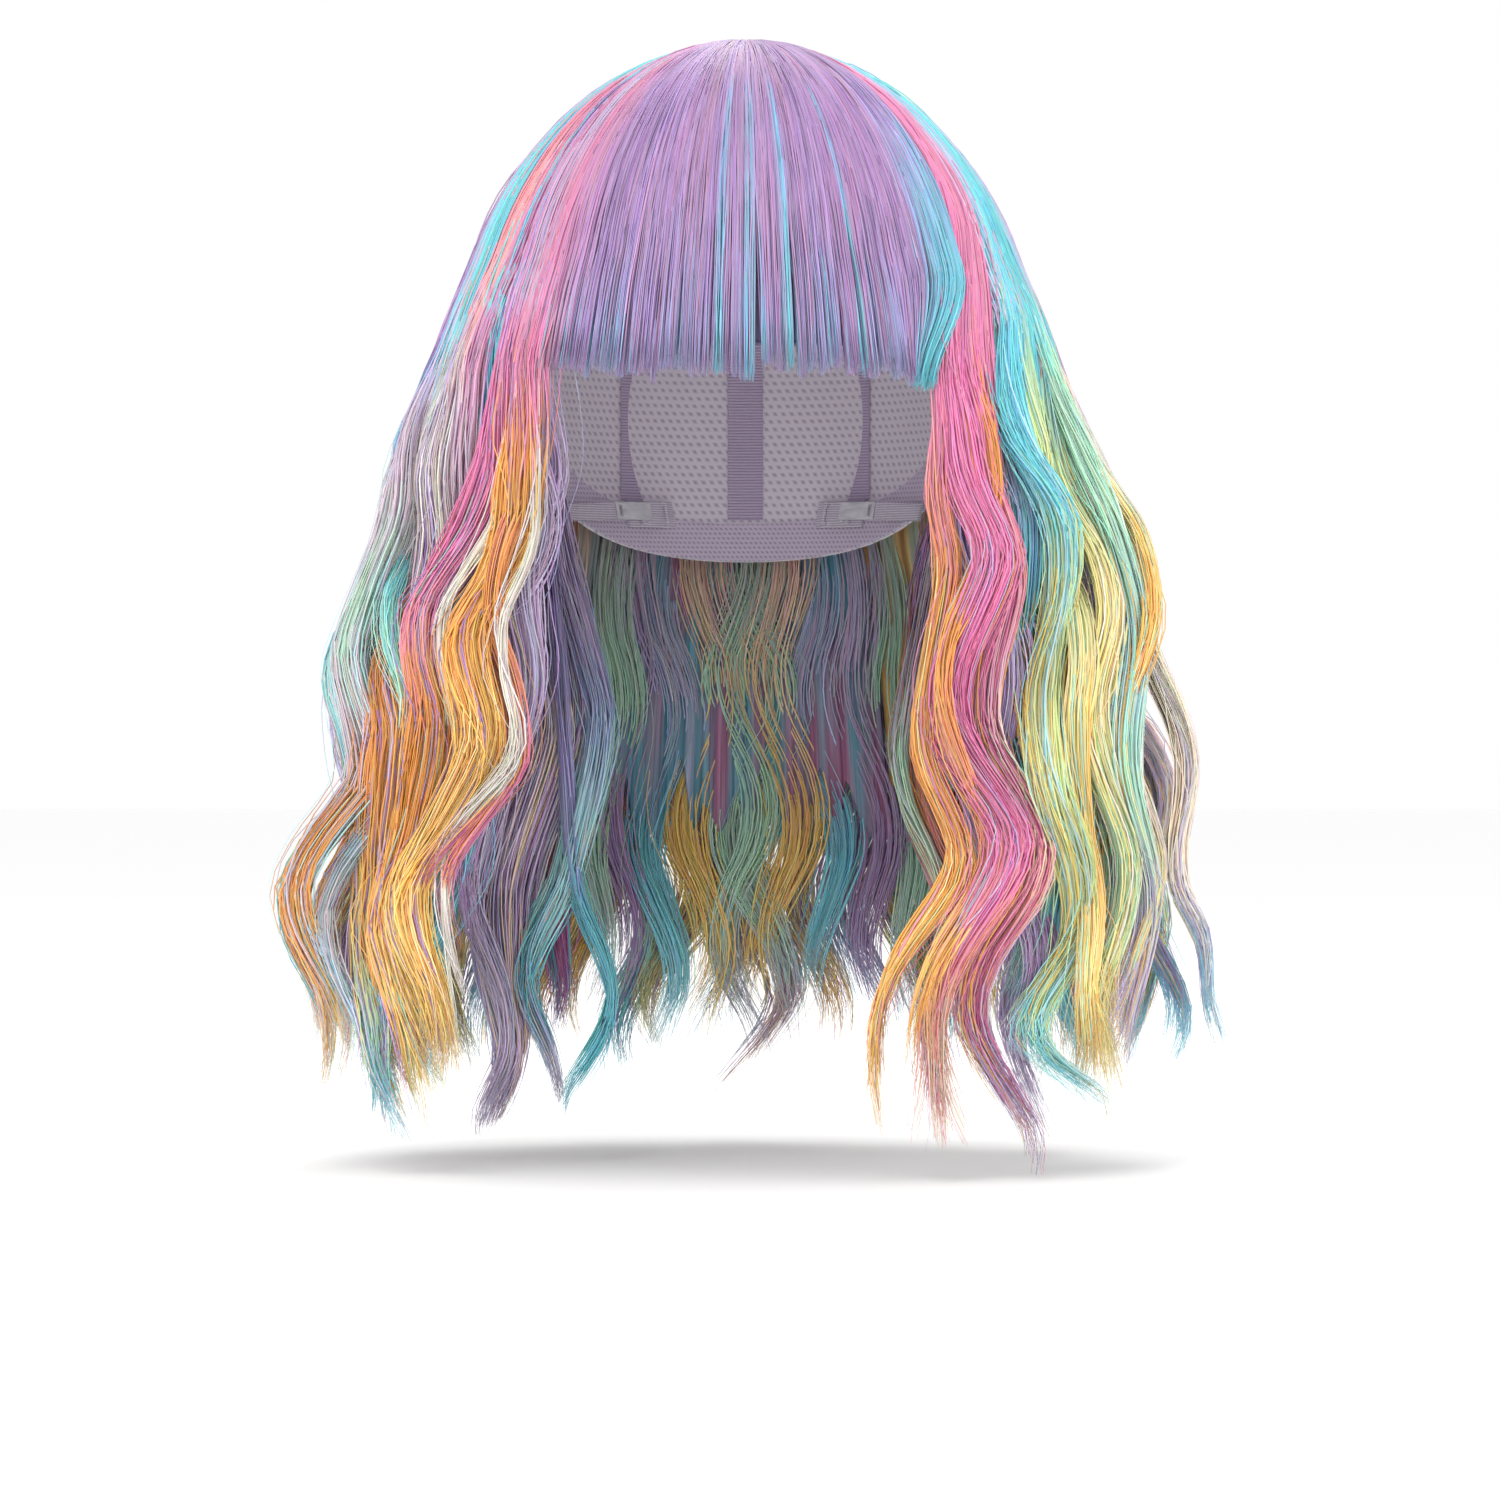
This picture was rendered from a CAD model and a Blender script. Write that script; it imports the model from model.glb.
"""Looks for the costume wig: fibre-by-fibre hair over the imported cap, in the cap's own frame.

Hair is laid on one surface that runs from the crown point down to the tips. A place on it is an
angle round the head (0 face, 90 side, 180 back, negative for the left) and a run in millimetres
from the crown point. Meshes are made in millimetres and stored in metres.
"""

from math import cos, pi, radians, sin

import bmesh
import bpy
import numpy as np
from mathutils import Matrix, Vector


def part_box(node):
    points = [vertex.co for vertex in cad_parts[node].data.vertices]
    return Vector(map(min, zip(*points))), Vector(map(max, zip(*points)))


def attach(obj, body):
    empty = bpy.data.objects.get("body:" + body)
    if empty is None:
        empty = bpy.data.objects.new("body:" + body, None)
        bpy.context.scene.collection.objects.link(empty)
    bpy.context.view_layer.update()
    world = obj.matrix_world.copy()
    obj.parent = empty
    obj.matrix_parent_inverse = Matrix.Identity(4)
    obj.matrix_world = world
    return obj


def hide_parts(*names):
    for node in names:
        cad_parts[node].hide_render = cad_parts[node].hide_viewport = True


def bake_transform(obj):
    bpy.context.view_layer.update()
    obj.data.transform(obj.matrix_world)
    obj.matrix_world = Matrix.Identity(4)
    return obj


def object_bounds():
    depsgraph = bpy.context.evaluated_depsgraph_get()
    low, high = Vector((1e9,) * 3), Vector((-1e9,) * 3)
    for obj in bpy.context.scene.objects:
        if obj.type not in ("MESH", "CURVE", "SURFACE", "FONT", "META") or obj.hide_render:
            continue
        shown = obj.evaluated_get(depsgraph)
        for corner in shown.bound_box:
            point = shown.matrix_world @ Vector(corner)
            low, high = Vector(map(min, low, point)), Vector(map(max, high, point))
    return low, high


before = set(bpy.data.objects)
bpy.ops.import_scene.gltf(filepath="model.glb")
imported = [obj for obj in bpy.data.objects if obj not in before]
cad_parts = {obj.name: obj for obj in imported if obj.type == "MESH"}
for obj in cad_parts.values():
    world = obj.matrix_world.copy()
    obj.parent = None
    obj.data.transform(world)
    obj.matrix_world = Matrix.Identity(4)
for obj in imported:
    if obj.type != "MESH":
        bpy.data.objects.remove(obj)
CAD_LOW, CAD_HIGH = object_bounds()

MM = 0.001
rng = np.random.default_rng(20)

# ---------------------------------------------------------------- sizes taken from the frame


def node_span(node, axis):
    """A node's lowest and highest coordinate along an axis, in millimetres."""
    low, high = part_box(node)
    return low[axis] / MM, high[axis] / MM


CROWN_TOP = node_span("crown_hair_side_right", 2)[1]
TIPS = CAD_LOW.z / MM
FRINGE_END = node_span("fringe_centre", 2)[0]

# ---------------------------------------------------------------- the hair surface

DOME_RUN = 128.0
DOME_ANGLE = radians(70)
DOME_HALF_WIDTH = 98.0
DOME_FRONT = 115.0
DOME_BACK = 119.0
CROWN_SHIFT = -9.0
FALL_TOP = 38
PROFILE_SAMPLES = 400
PROFILE_WINDOW = 19

# How sharply the front reach gives way to the back reach at the sides.
SIDE_TURN = 3

# The outermost hair below the dome: height, half width, front reach and back reach.
FALL = np.array([
    (40, 93, 109, 112),
    (20, 101, 111, 119),
    (5, 106, 112, 125),
    (-15, 111, 111, 131),
    (-40, 114, 108, 136),
    (-70, 124, 105, 139),
    (-105, 131, 102, 142),
    (-150, 139, 99, 145),
    (-200, 142, 96, 147),
    (-245, 139, 94, 146),
], float)


def smoothed(values, window, **padding):
    """Values evened out over a window of samples."""
    kernel = np.hanning(window) / np.hanning(window).sum()
    return np.convolve(np.pad(values, window // 2, **padding), kernel, mode="valid")


def make_profile():
    """Tables of height, half width, front reach and back reach against the run from the crown."""
    dome_run = np.linspace(0, DOME_RUN, 60)
    tilt = dome_run / DOME_RUN * DOME_ANGLE
    dome = np.stack([
        (CROWN_TOP - 1) * np.cos(tilt),
        DOME_HALF_WIDTH * np.sin(tilt),
        DOME_FRONT * np.sin(tilt),
        DOME_BACK * np.sin(tilt),
    ], axis=1)
    heights = np.linspace(FALL_TOP, FALL[-1, 0], 120)
    reaches = [np.interp(-heights, -FALL[:, 0], FALL[:, k]) for k in (1, 2, 3)]
    fall = np.stack([heights] + reaches, axis=1)
    table = np.concatenate([dome, fall])
    steps = np.hypot(np.diff(table[:, 0]), np.diff(table[:, 1:].mean(axis=1)))
    run = np.concatenate([[0], np.cumsum(steps)])
    even = np.linspace(0, run[-1], PROFILE_SAMPLES)
    table = np.stack([np.interp(even, run, table[:, k]) for k in range(4)], axis=1)
    columns = [smoothed(table[:, k], PROFILE_WINDOW, mode="reflect", reflect_type="odd") for k in range(4)]
    return even, np.stack(columns, axis=1)


PROFILE_RUN, PROFILE = make_profile()
PROFILE_SLOPE = np.gradient(PROFILE, PROFILE_RUN, axis=0)


def at_run(table, run, column):
    """A profile column at the given runs."""
    return np.interp(run, PROFILE_RUN, table[:, column])


def run_at_height(height):
    """The run at which the hair surface reaches a height."""
    return np.interp(-np.asarray(height, float), -PROFILE[:, 0], PROFILE_RUN)


def reach_at(theta, run):
    """Front or back reach at an angle, with a soft change at the sides."""
    share = 0.5 - 0.5 * np.tanh(SIDE_TURN * np.cos(theta))
    return at_run(PROFILE, run, 2) * (1 - share) + at_run(PROFILE, run, 3) * share


def surface_point(theta, run, depth):
    """Points at angles, runs and depths below the outermost hair."""
    half_width = at_run(PROFILE, run, 1)
    reach = reach_at(theta, run)
    height = at_run(PROFILE, run, 0)
    spread = at_run(PROFILE_SLOPE, run, 1)
    drop = -at_run(PROFILE_SLOPE, run, 0)
    size = np.hypot(spread, drop) + 1e-9
    side_normal = np.stack([reach * np.sin(theta), -half_width * np.cos(theta)], axis=-1)
    side_normal /= np.linalg.norm(side_normal, axis=-1, keepdims=True) + 1e-9
    outward, upward = drop / size, spread / size
    shift = CROWN_SHIFT * np.clip(1 - run / DOME_RUN, 0, 1)
    x = half_width * np.sin(theta) - depth * outward * side_normal[..., 0]
    y = -reach * np.cos(theta) + shift - depth * outward * side_normal[..., 1]
    z = height - depth * upward
    return np.stack([x, y, z], axis=-1)


def turn_length(theta, run):
    """Millimetres along the surface for one radian of angle."""
    return np.hypot(at_run(PROFILE, run, 1) * np.cos(theta), reach_at(theta, run) * np.sin(theta)) + 1.0


def ease(value, low, high):
    """A smooth step from 0 at low to 1 at high."""
    share = np.clip((value - low) / (high - low), 0, 1)
    return share * share * (3 - 2 * share)


# ---------------------------------------------------------------- dye colours

DYES = {
    "lavender": (171, 139, 188),
    "lilac": (198, 182, 214),
    "bluelilac": (156, 164, 206),
    "violet": (158, 126, 184),
    "indigo": (112, 92, 150),
    "pink": (222, 140, 176),
    "rose": (202, 138, 172),
    "candy": (230, 132, 178),
    "magenta": (206, 104, 154),
    "coral": (238, 158, 152),
    "orange": (236, 166, 88),
    "deep_orange": (214, 142, 72),
    "gold": (246, 200, 112),
    "butter": (247, 222, 156),
    "aqua": (116, 204, 218),
    "teal": (96, 178, 192),
    "paleaqua": (178, 224, 230),
    "mint": (182, 222, 196),
    "lime": (216, 222, 160),
    "silver": (216, 210, 200),
    "mauve": (202, 184, 196),
    "peach": (240, 212, 190),
    "cream": (246, 238, 218),
}
SHADE_STEP = 15
FIBRE_LOOK = {"Roughness": 0.42, "Specular IOR Level": 0.45, "Sheen Weight": 0.15}


def dye(name):
    """A dye's sRGB bytes as an array."""
    return np.array(DYES[name], float)


def linear(value):
    """An sRGB channel from 0 to 1 as linear light."""
    return value / 12.92 if value <= 0.04045 else ((value + 0.055) / 1.055) ** 2.4


def linear_colour(rgb):
    """Linear RGBA from sRGB bytes."""
    return tuple(linear(channel / 255) for channel in rgb) + (1.0,)


shade_materials = {}


def shade_material(rgb):
    """The fibre material of one shade: a satin synthetic with a little sheen."""
    if rgb not in shade_materials:
        material = bpy.data.materials.new("fibre_%02x%02x%02x" % rgb)
        material.use_nodes = True
        shader = material.node_tree.nodes["Principled BSDF"]
        shader.inputs["Base Color"].default_value = linear_colour(rgb)
        for socket, value in FIBRE_LOOK.items():
            shader.inputs[socket].default_value = value
        shade_materials[rgb] = material
    return shade_materials[rgb]


def dye_along(stops, heights, wander):
    """Colours at heights, from stops of height: dye, each fibre's heights moved by its own wander."""
    ordered = sorted(stops.items())
    at = np.array([height for height, _ in ordered], float)
    colours = np.array([dye(name) for _, name in ordered])
    return np.stack([np.interp(heights + wander, at, colours[:, k]) for k in range(3)], axis=-1)


# ---------------------------------------------------------------- fibres

FIBRE_SIDES = 3
HEAD_MIDDLE = np.array([0.0, 0.0, -60.0])


def tube_mesh(name, paths, radii, colours):
    """One mesh of many thin tubes, dyed in steps along their length.

    paths and colours are fibres x samples x 3, and paths are in millimetres.
    """
    fibres, samples, _ = paths.shape
    along = np.gradient(paths, axis=1)
    along /= np.linalg.norm(along, axis=2, keepdims=True) + 1e-9
    out = paths - HEAD_MIDDLE
    out -= (out * along).sum(axis=2, keepdims=True) * along
    out /= np.linalg.norm(out, axis=2, keepdims=True) + 1e-9
    across = np.cross(along, out)
    corners = []
    for side in range(FIBRE_SIDES):
        turn = 2 * pi * side / FIBRE_SIDES + pi / 2
        corners.append(paths + radii[..., None] * (cos(turn) * across + sin(turn) * out))
    points = np.stack(corners, axis=2).reshape(-1, 3) * MM
    ring = np.arange(fibres * samples).reshape(fibres, samples) * FIBRE_SIDES
    faces = []
    for side in range(FIBRE_SIDES):
        other = (side + 1) % FIBRE_SIDES
        near, far = ring[:, :-1], ring[:, 1:]
        faces.append(np.stack([near + side, near + other, far + other, far + side], axis=-1))
    quads = np.stack(faces, axis=2).reshape(-1, 4)
    caps = np.concatenate([
        np.stack([ring[:, 0] + 2, ring[:, 0] + 1, ring[:, 0]], axis=-1),
        np.stack([ring[:, -1], ring[:, -1] + 1, ring[:, -1] + 2], axis=-1),
    ])
    middle = (colours[:, :-1] + colours[:, 1:]) / 2
    face_shade = np.repeat(middle[:, :, None], FIBRE_SIDES, axis=2).reshape(-1, 3)
    cap_shade = np.concatenate([colours[:, 0], colours[:, -1]])
    shades = np.concatenate([face_shade, cap_shade])
    shades = np.clip(np.round(shades / SHADE_STEP) * SHADE_STEP, 0, 255).astype(int)
    kinds, index = np.unique(shades, axis=0, return_inverse=True)
    mesh = bpy.data.meshes.new(name)
    fill_mesh(mesh, points, quads, caps)
    for kind in kinds:
        mesh.materials.append(shade_material(tuple(int(v) for v in kind)))
    mesh.polygons.foreach_set("material_index", index.reshape(-1).astype(np.int32))
    mesh.polygons.foreach_set("use_smooth", np.ones(len(mesh.polygons), bool))
    mesh.update()
    return add_object(name, mesh)


def fill_mesh(mesh, points, quads, triangles):
    """Loads vertices, quads and triangles into an empty mesh."""
    loops = np.concatenate([quads.reshape(-1), triangles.reshape(-1)]).astype(np.int32)
    sizes = np.concatenate([np.full(len(quads), 4), np.full(len(triangles), 3)]).astype(np.int32)
    starts = np.concatenate([[0], np.cumsum(sizes)[:-1]]).astype(np.int32)
    mesh.vertices.add(len(points))
    mesh.vertices.foreach_set("co", points.astype(np.float32).reshape(-1))
    mesh.loops.add(len(loops))
    mesh.loops.foreach_set("vertex_index", loops)
    mesh.polygons.add(len(sizes))
    mesh.polygons.foreach_set("loop_start", starts)
    mesh.update(calc_edges=True)


def add_object(name, mesh):
    """A new object in the scene for a mesh."""
    piece = bpy.data.objects.new(name, mesh)
    bpy.context.scene.collection.objects.link(piece)
    return piece


# ---------------------------------------------------------------- locks


class Lock:
    """A lock of hair: where it hangs, how it waves and how it is dyed.

    top and bottom are its angles at the crown and at the tips, tip its lowest height and crest the height
    of a wave's crest. dyes map heights to dyes, and streaks are (dye, share of the fibres, top height).
    root is the span of runs at which its fibres start. A lock with a line follows it instead of waving
    evenly. The line maps heights to distances from the middle, in millimetres as seen in front.
    """

    def __init__(self, top, bottom, tip, crest, dyes, width=13, thick=6, depth=4, wave=10, length=94,
                 count=150, crown_width=5, streaks=(), root=(0, 95), line=None):
        self.top, self.bottom, self.tip, self.crest, self.dyes = top, bottom, tip, crest, dyes
        self.width, self.thick, self.depth = width, thick, depth
        self.wave, self.length, self.count = wave, length, count
        self.crown_width, self.streaks, self.root, self.line = crown_width, streaks, root, line


SAMPLES = 46
FIBRE_RADIUS = 0.26
VIEW_DISTANCE = 2000.0
VIEW_HEIGHT = -112.0
LINE_STEP = 1.0
HAIR_REACH = 105
SIDE_ANGLE = 71

# Heights between which smooth crown hair becomes a hanging lock, its angle moves from top to bottom, and
# its waves set in.
FALL_START, FALL_FULL = 30, -35
ANGLE_START, ANGLE_END = 30, -90
WAVE_TOP, WAVE_FULL = 4.0, -45.0

# Strands within a lock: fibres in each, wander along it, flick and gathering at the tips, and the depth
# of the fibres on the crown. Lengths are in millimetres.
STRAND_FIBRES = 26
STRAND_SHIFT, FIBRE_SHIFT = 1.7, 0.9
STRAND_PLACE, FIBRE_PLACE = 0.5, 0.68
TIP_FLICK, FLICK_RUN = 5.0, 42.0
TIP_GATHER, OPEN_GATHER, GATHER_RUN = 0.34, 0.66, 80.0
TWIST = 0.006
SURFACE_DEPTH = (0.6, 3.6)

# Roots dive under the hair above them, and whole fibres start at the crown point.
WHOLE_SHARE = 0.34
ROOT_RISE, ROOT_RUN, ROOT_THIN_RUN = 5.0, 26, 6.0
TIP_THIN_RUN = 30.0

# Stray fibres, and the wavelength and size of every fibre's own wander.
WILD_SHARE, WILD, CALM = 0.08, 2.4, 0.5
STRAY_SHARE = 0.05
FLYAWAY_THIN, FLYAWAY_SPREAD, FLYAWAY_LOOSE = 0.6, 1.8, 1.3
FRIZZ = ((95, 0.8), (41, 0.22))


def true_line(line, ahead, window, reach=None):
    """Heights, x and top height of a smoothed line in true millimetres, from points seen in front.

    The hair lies ahead of the head's middle, so it is seen a little larger than it is.
    """
    points = np.array(sorted(line.items(), reverse=True), float)
    near = 1 - ahead / VIEW_DISTANCE
    true_height = (points[:, 0] - VIEW_HEIGHT) * near + VIEW_HEIGHT
    top, bottom = reach or (true_height[0], true_height[-1])
    heights = np.arange(top, bottom, -LINE_STEP)
    x = smoothed(np.interp(-heights, -true_height, points[:, 1] * near), window, mode="edge")
    return heights, x, true_height[0]


def fibre_roots(count, whole_share, whole_end, low, high):
    """Which fibres start at the crown point, and the run at which each one starts."""
    whole = rng.random(count) < whole_share
    return whole, np.where(whole, rng.uniform(1, whole_end, count), rng.uniform(low, high, count))


def root_taper(run, first, whole, rise_run):
    """How far each fibre's root lies below the hair, and how thin it is there."""
    rise = ROOT_RISE * (1 - ease(run - first[:, None], 0, rise_run)) * ~whole[:, None]
    return rise, np.clip((run - first[:, None]) / ROOT_THIN_RUN, 0.3, 1)


def fibre_radii(count, finest, tip, root=1):
    """Radii of fibres along their lengths, thinned towards the tip and the root."""
    return FIBRE_RADIUS * rng.uniform(finest, 1.25, count)[:, None] * tip * root


def lock_fibres(lock, spread=1.0, count=None, loose=0.0):
    """Paths, radii and colours for the fibres of one lock, gathered into a few strands."""
    count = count or lock.count
    strands = max(3, count // STRAND_FIBRES)
    owner = rng.integers(0, strands, count)
    shift = (rng.normal(0, STRAND_SHIFT, strands)[owner] + rng.normal(0, FIBRE_SHIFT, count))[:, None]
    flick = rng.normal(0, TIP_FLICK, strands)[owner][:, None]
    tip_run = run_at_height(lock.tip) - rng.gamma(1.5, 7.0, count) + rng.normal(0, 6, strands)[owner]
    whole, first = fibre_roots(count, WHOLE_SHARE, 10, lock.root[0] + 8, lock.root[1])
    run = first[:, None] + (tip_run - first)[:, None] * np.linspace(0, 1, SAMPLES)
    run = np.clip(run, 0, PROFILE_RUN[-1])
    left = tip_run[:, None] - run
    height = at_run(PROFILE, run, 0)
    fall = ease(-height, -FALL_START, -FALL_FULL)
    place = (STRAND_PLACE * disc_points(strands)[owner] + FIBRE_PLACE * disc_points(count)) * spread
    turn = fall * run * TWIST
    side = np.cos(turn) * place[:, :1] - np.sin(turn) * place[:, 1:]
    inner = np.sin(turn) * place[:, :1] + np.cos(turn) * place[:, 1:]
    gather = TIP_GATHER + OPEN_GATHER * np.clip(left / GATHER_RUN, 0, 1) ** 0.8
    theta, hanging = lock_course(lock, height, run, shift)
    reach = turn_length(theta, run)
    crown_spread = np.radians(lock.crown_width) * side
    curl = flick * (1 - np.clip(left / FLICK_RUN, 0, 1)) ** 2
    lock_spread = (lock.width * gather * side + curl) / reach
    wild = np.where(rng.random(count) < WILD_SHARE, WILD, CALM)[:, None] * (1 + loose * 1.3)
    frizz = frizz_for(count, run) * (0.25 + 0.75 * fall) * wild
    theta = theta + crown_spread * (1 - fall) + lock_spread * fall + frizz[0] / reach
    surface = rng.uniform(*SURFACE_DEPTH, count)[:, None]
    rise, start = root_taper(run, first, whole, ROOT_RUN)
    depth = surface * (1 - fall) + (hanging + lock.thick * gather * inner) * fall + rise + frizz[1]
    radii = fibre_radii(count, 0.75, np.clip(left / TIP_THIN_RUN, 0.2, 1), start)
    return surface_point(theta, run, depth), radii, lock_colours(lock, height, count)


def disc_points(count):
    """Points spread evenly over a disc of radius one."""
    spin = rng.random(count) * 2 * pi
    reach = np.sqrt(rng.random(count))
    return np.stack([reach * np.cos(spin), reach * np.sin(spin)], axis=1)


def lock_course(lock, height, run, shift):
    """The angle and depth of a lock's middle for each fibre: an even wave, or its line."""
    strength = lock.wave * ease(-height, -WAVE_TOP, -WAVE_FULL)
    phase = 2 * pi * (height - lock.crest - shift) / lock.length
    theta = np.radians(lock.top + (lock.bottom - lock.top) * ease(-height, -ANGLE_START, -ANGLE_END))
    sign = 1.0 if lock.top >= 0 else -1.0
    sideways = np.abs(np.sin(theta))
    if lock.line is None:
        swing = sign * strength * np.cos(phase) * (1 - 0.5 * sideways) / turn_length(theta, run)
        depth = lock.depth + 0.4 * strength * np.sin(phase) - 0.6 * strength * np.cos(phase) * sideways
        return theta + swing, depth
    ahead = HAIR_REACH * cos(radians(abs(lock.top + lock.bottom) / 2))
    heights, x, line_top = true_line(lock.line, ahead, 21, (CROWN_TOP, TIPS - 10))
    half_width = at_run(PROFILE, run, 1)
    top_width = at_run(PROFILE, run_at_height(line_top), 1)
    target = np.interp(-(height + shift), -heights, x) * np.minimum(1, half_width / top_width)
    follow = ease(-height, -(line_top + 58), -(line_top - 8))
    if abs(lock.top) < SIDE_ANGLE:
        aimed = sign * np.arcsin(np.clip(target / (half_width - lock.depth * 0.7), 0, 0.985))
        return theta + (aimed - theta) * follow, lock.depth + 0.6 * strength * np.sin(phase)
    depth = (half_width * sideways - target) / np.maximum(sideways, 0.5)
    swing = 0.7 * sign * strength * np.sin(phase) / turn_length(theta, run)
    return theta + swing, lock.depth * (1 - follow) + depth * follow


def frizz_for(count, run):
    """Small sideways and depth wander of single fibres, in millimetres."""
    made = []
    for _ in range(2):
        total = np.zeros_like(run)
        for length, size in FRIZZ:
            shift = rng.random(count)[:, None] * 2 * pi
            scale = rng.normal(0, 1, count)[:, None]
            total += size * scale * np.sin(2 * pi * run / length + shift)
        made.append(total)
    return np.array(made)


def lock_colours(lock, height, count):
    """Dye colours of a lock's fibres, with streaks of other dyes and a lighter or darker cast each."""
    wander = rng.normal(0, 11, count)[:, None]
    colours = dye_along(lock.dyes, height, wander)
    for name, share, top in lock.streaks:
        chosen = rng.random(count) < share
        below = ease(-(height + wander), -top - 8, -top + 8) * chosen[:, None]
        colours += (dye(name) - colours) * below[..., None]
    cast = 1 + rng.normal(0, 0.055, count)[:, None, None]
    lift = rng.normal(0, 5, (count, 1, 3))
    return np.clip(colours * cast + lift, 12, 253)


def build_hair(name, locks):
    """One piece of fibres from several locks, with some fine flyaway hairs."""
    groups = [lock_fibres(lock) for lock in locks]
    for lock in locks:
        count = max(3, int(lock.count * STRAY_SHARE))
        paths, radii, colours = lock_fibres(lock, FLYAWAY_SPREAD, count, FLYAWAY_LOOSE)
        groups.append((paths, radii * FLYAWAY_THIN, colours))
    return joined_tubes(name, groups)


def joined_tubes(name, groups):
    """One piece from several groups of fibres."""
    return tube_mesh(name, *(np.concatenate(kind) for kind in zip(*groups)))


# ---------------------------------------------------------------- lock tables

PINK_CROWN = {117: "rose", 40: "pink"}
AQUA_CROWN = {117: "aqua", 30: "aqua"}
LILAC_CROWN = {117: "lilac", 30: "lavender"}

LEFT_FRONT = [
    Lock(-41, -41, -216, -72, {117: "rose", 40: "rose", 16: "pink", -4: "pink", -20: "orange", -60: "gold",
         -80: "orange", -108: "gold", -190: "gold", -212: "butter"},
         width=9.5, wave=10, depth=0, count=320, crown_width=4.6, length=84,
         line={14: 71, -20: 70, -40: 76, -60: 86, -74: 90, -90: 86, -104: 82, -116: 84, -130: 96, -145: 107,
               -158: 110, -175: 104, -190: 98, -205: 98, -220: 101},
         streaks=[("lavender", 0.14, 119), ("orange", 0.2, -30), ("butter", 0.15, -100)]),
    Lock(-39, -43, -196, -72, {117: "pink", -10: "pink", -24: "silver", -190: "silver"},
         width=1.9, thick=1.6, wave=8, depth=-3, count=30, crown_width=2,
         line={14: 71, -20: 67, -45: 71, -68: 79, -90: 76, -108: 72, -120: 76, -131: 90, -145: 101,
               -160: 100, -180: 95, -200: 90}),
    Lock(-42, -46, -120, -72, {117: "pink", -10: "pink", -30: "silver", -190: "silver"},
         width=2.0, thick=1.6, wave=8, depth=-2, count=28, crown_width=2,
         line={14: 74, -20: 76, -36: 82, -52: 94, -66: 100, -82: 97, -96: 92, -120: 88}),
    Lock(-41, -42, -176, -120, {117: "pink", 0: "pink", -60: "orange", -112: "coral", -128: "magenta",
         -160: "pink"},
         width=5, thick=3, wave=8, depth=4, count=70, crown_width=2.4,
         line={14: 72, -30: 72, -70: 84, -105: 77, -120: 75, -135: 84, -150: 95, -165: 99, -180: 96},
         streaks=[("orange", 0.3, -112)]),
]
LEFT_CHEEK = [
    Lock(-47, -50, -226, -68, {117: "rose", 40: "rose", 10: "pink", -44: "candy", -64: "pink", -84: "coral",
         -104: "deep_orange", -140: "orange", -170: "gold", -218: "butter"},
         width=8.5, wave=10, depth=2.5, count=250, crown_width=4.4,
         line={14: 76, -20: 80, -34: 90, -48: 100, -62: 105, -80: 102, -100: 98, -115: 104, -130: 112,
               -150: 118, -168: 117, -185: 110, -205: 108, -220: 111},
         streaks=[("lavender", 0.12, 117), ("orange", 0.2, -90), ("mint", 0.08, -40)]),
    Lock(-52, -55, -222, -74, {117: "rose", 45: "rose", 14: "rose", -14: "mauve", -48: "mauve",
         -66: "deep_orange", -165: "orange", -218: "gold"},
         width=10, wave=10, depth=7, count=210, crown_width=4.4,
         line={14: 86, -20: 94, -50: 106, -75: 114, -100: 110, -120: 112, -140: 122, -158: 124, -178: 116,
               -195: 112, -212: 116},
         streaks=[("aqua", 0.1, -180), ("gold", 0.25, -110)]),
]
LEFT_SIDE = [
    Lock(-57, -60, -228, -84, {117: "pink", 50: "coral", 16: "mauve", -30: "silver", -62: "mauve",
         -84: "deep_orange", -130: "orange", -160: "gold", -200: "mint", -222: "aqua"},
         width=11, wave=10, depth=3, count=200, crown_width=3,
         line={14: 93, -10: 98, -40: 104, -60: 112, -84: 116, -105: 110, -124: 116, -145: 126, -165: 128,
               -185: 122, -200: 116, -225: 118},
         streaks=[("lilac", 0.2, 10), ("violet", 0.1, -20)]),
    Lock(-66, -62, -226, -60, AQUA_CROWN | {16: "mauve", -25: "mint", -45: "aqua", -100: "mint",
         -125: "paleaqua", -170: "mauve", -222: "aqua"},
         width=3.4, thick=3, wave=9, depth=-1, count=130, crown_width=4,
         line={14: 98, -14: 106, -38: 112, -60: 114, -80: 110, -98: 104, -112: 108, -128: 122, -146: 132,
               -165: 134, -185: 128, -205: 122}),
    Lock(-71, -69, -210, -92, AQUA_CROWN | {14: "lilac", -30: "mauve", -70: "mint", -108: "mauve",
         -128: "deep_orange", -165: "orange", -200: "gold"},
         width=12, wave=10, depth=3, count=170,
         line={24: 94, 0: 106, -25: 112, -45: 114, -65: 120, -86: 128, -102: 127, -120: 124, -138: 136,
               -156: 144, -172: 142, -190: 136, -208: 136},
         streaks=[("mauve", 0.25, -20), ("paleaqua", 0.15, -50)]),
]
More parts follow.
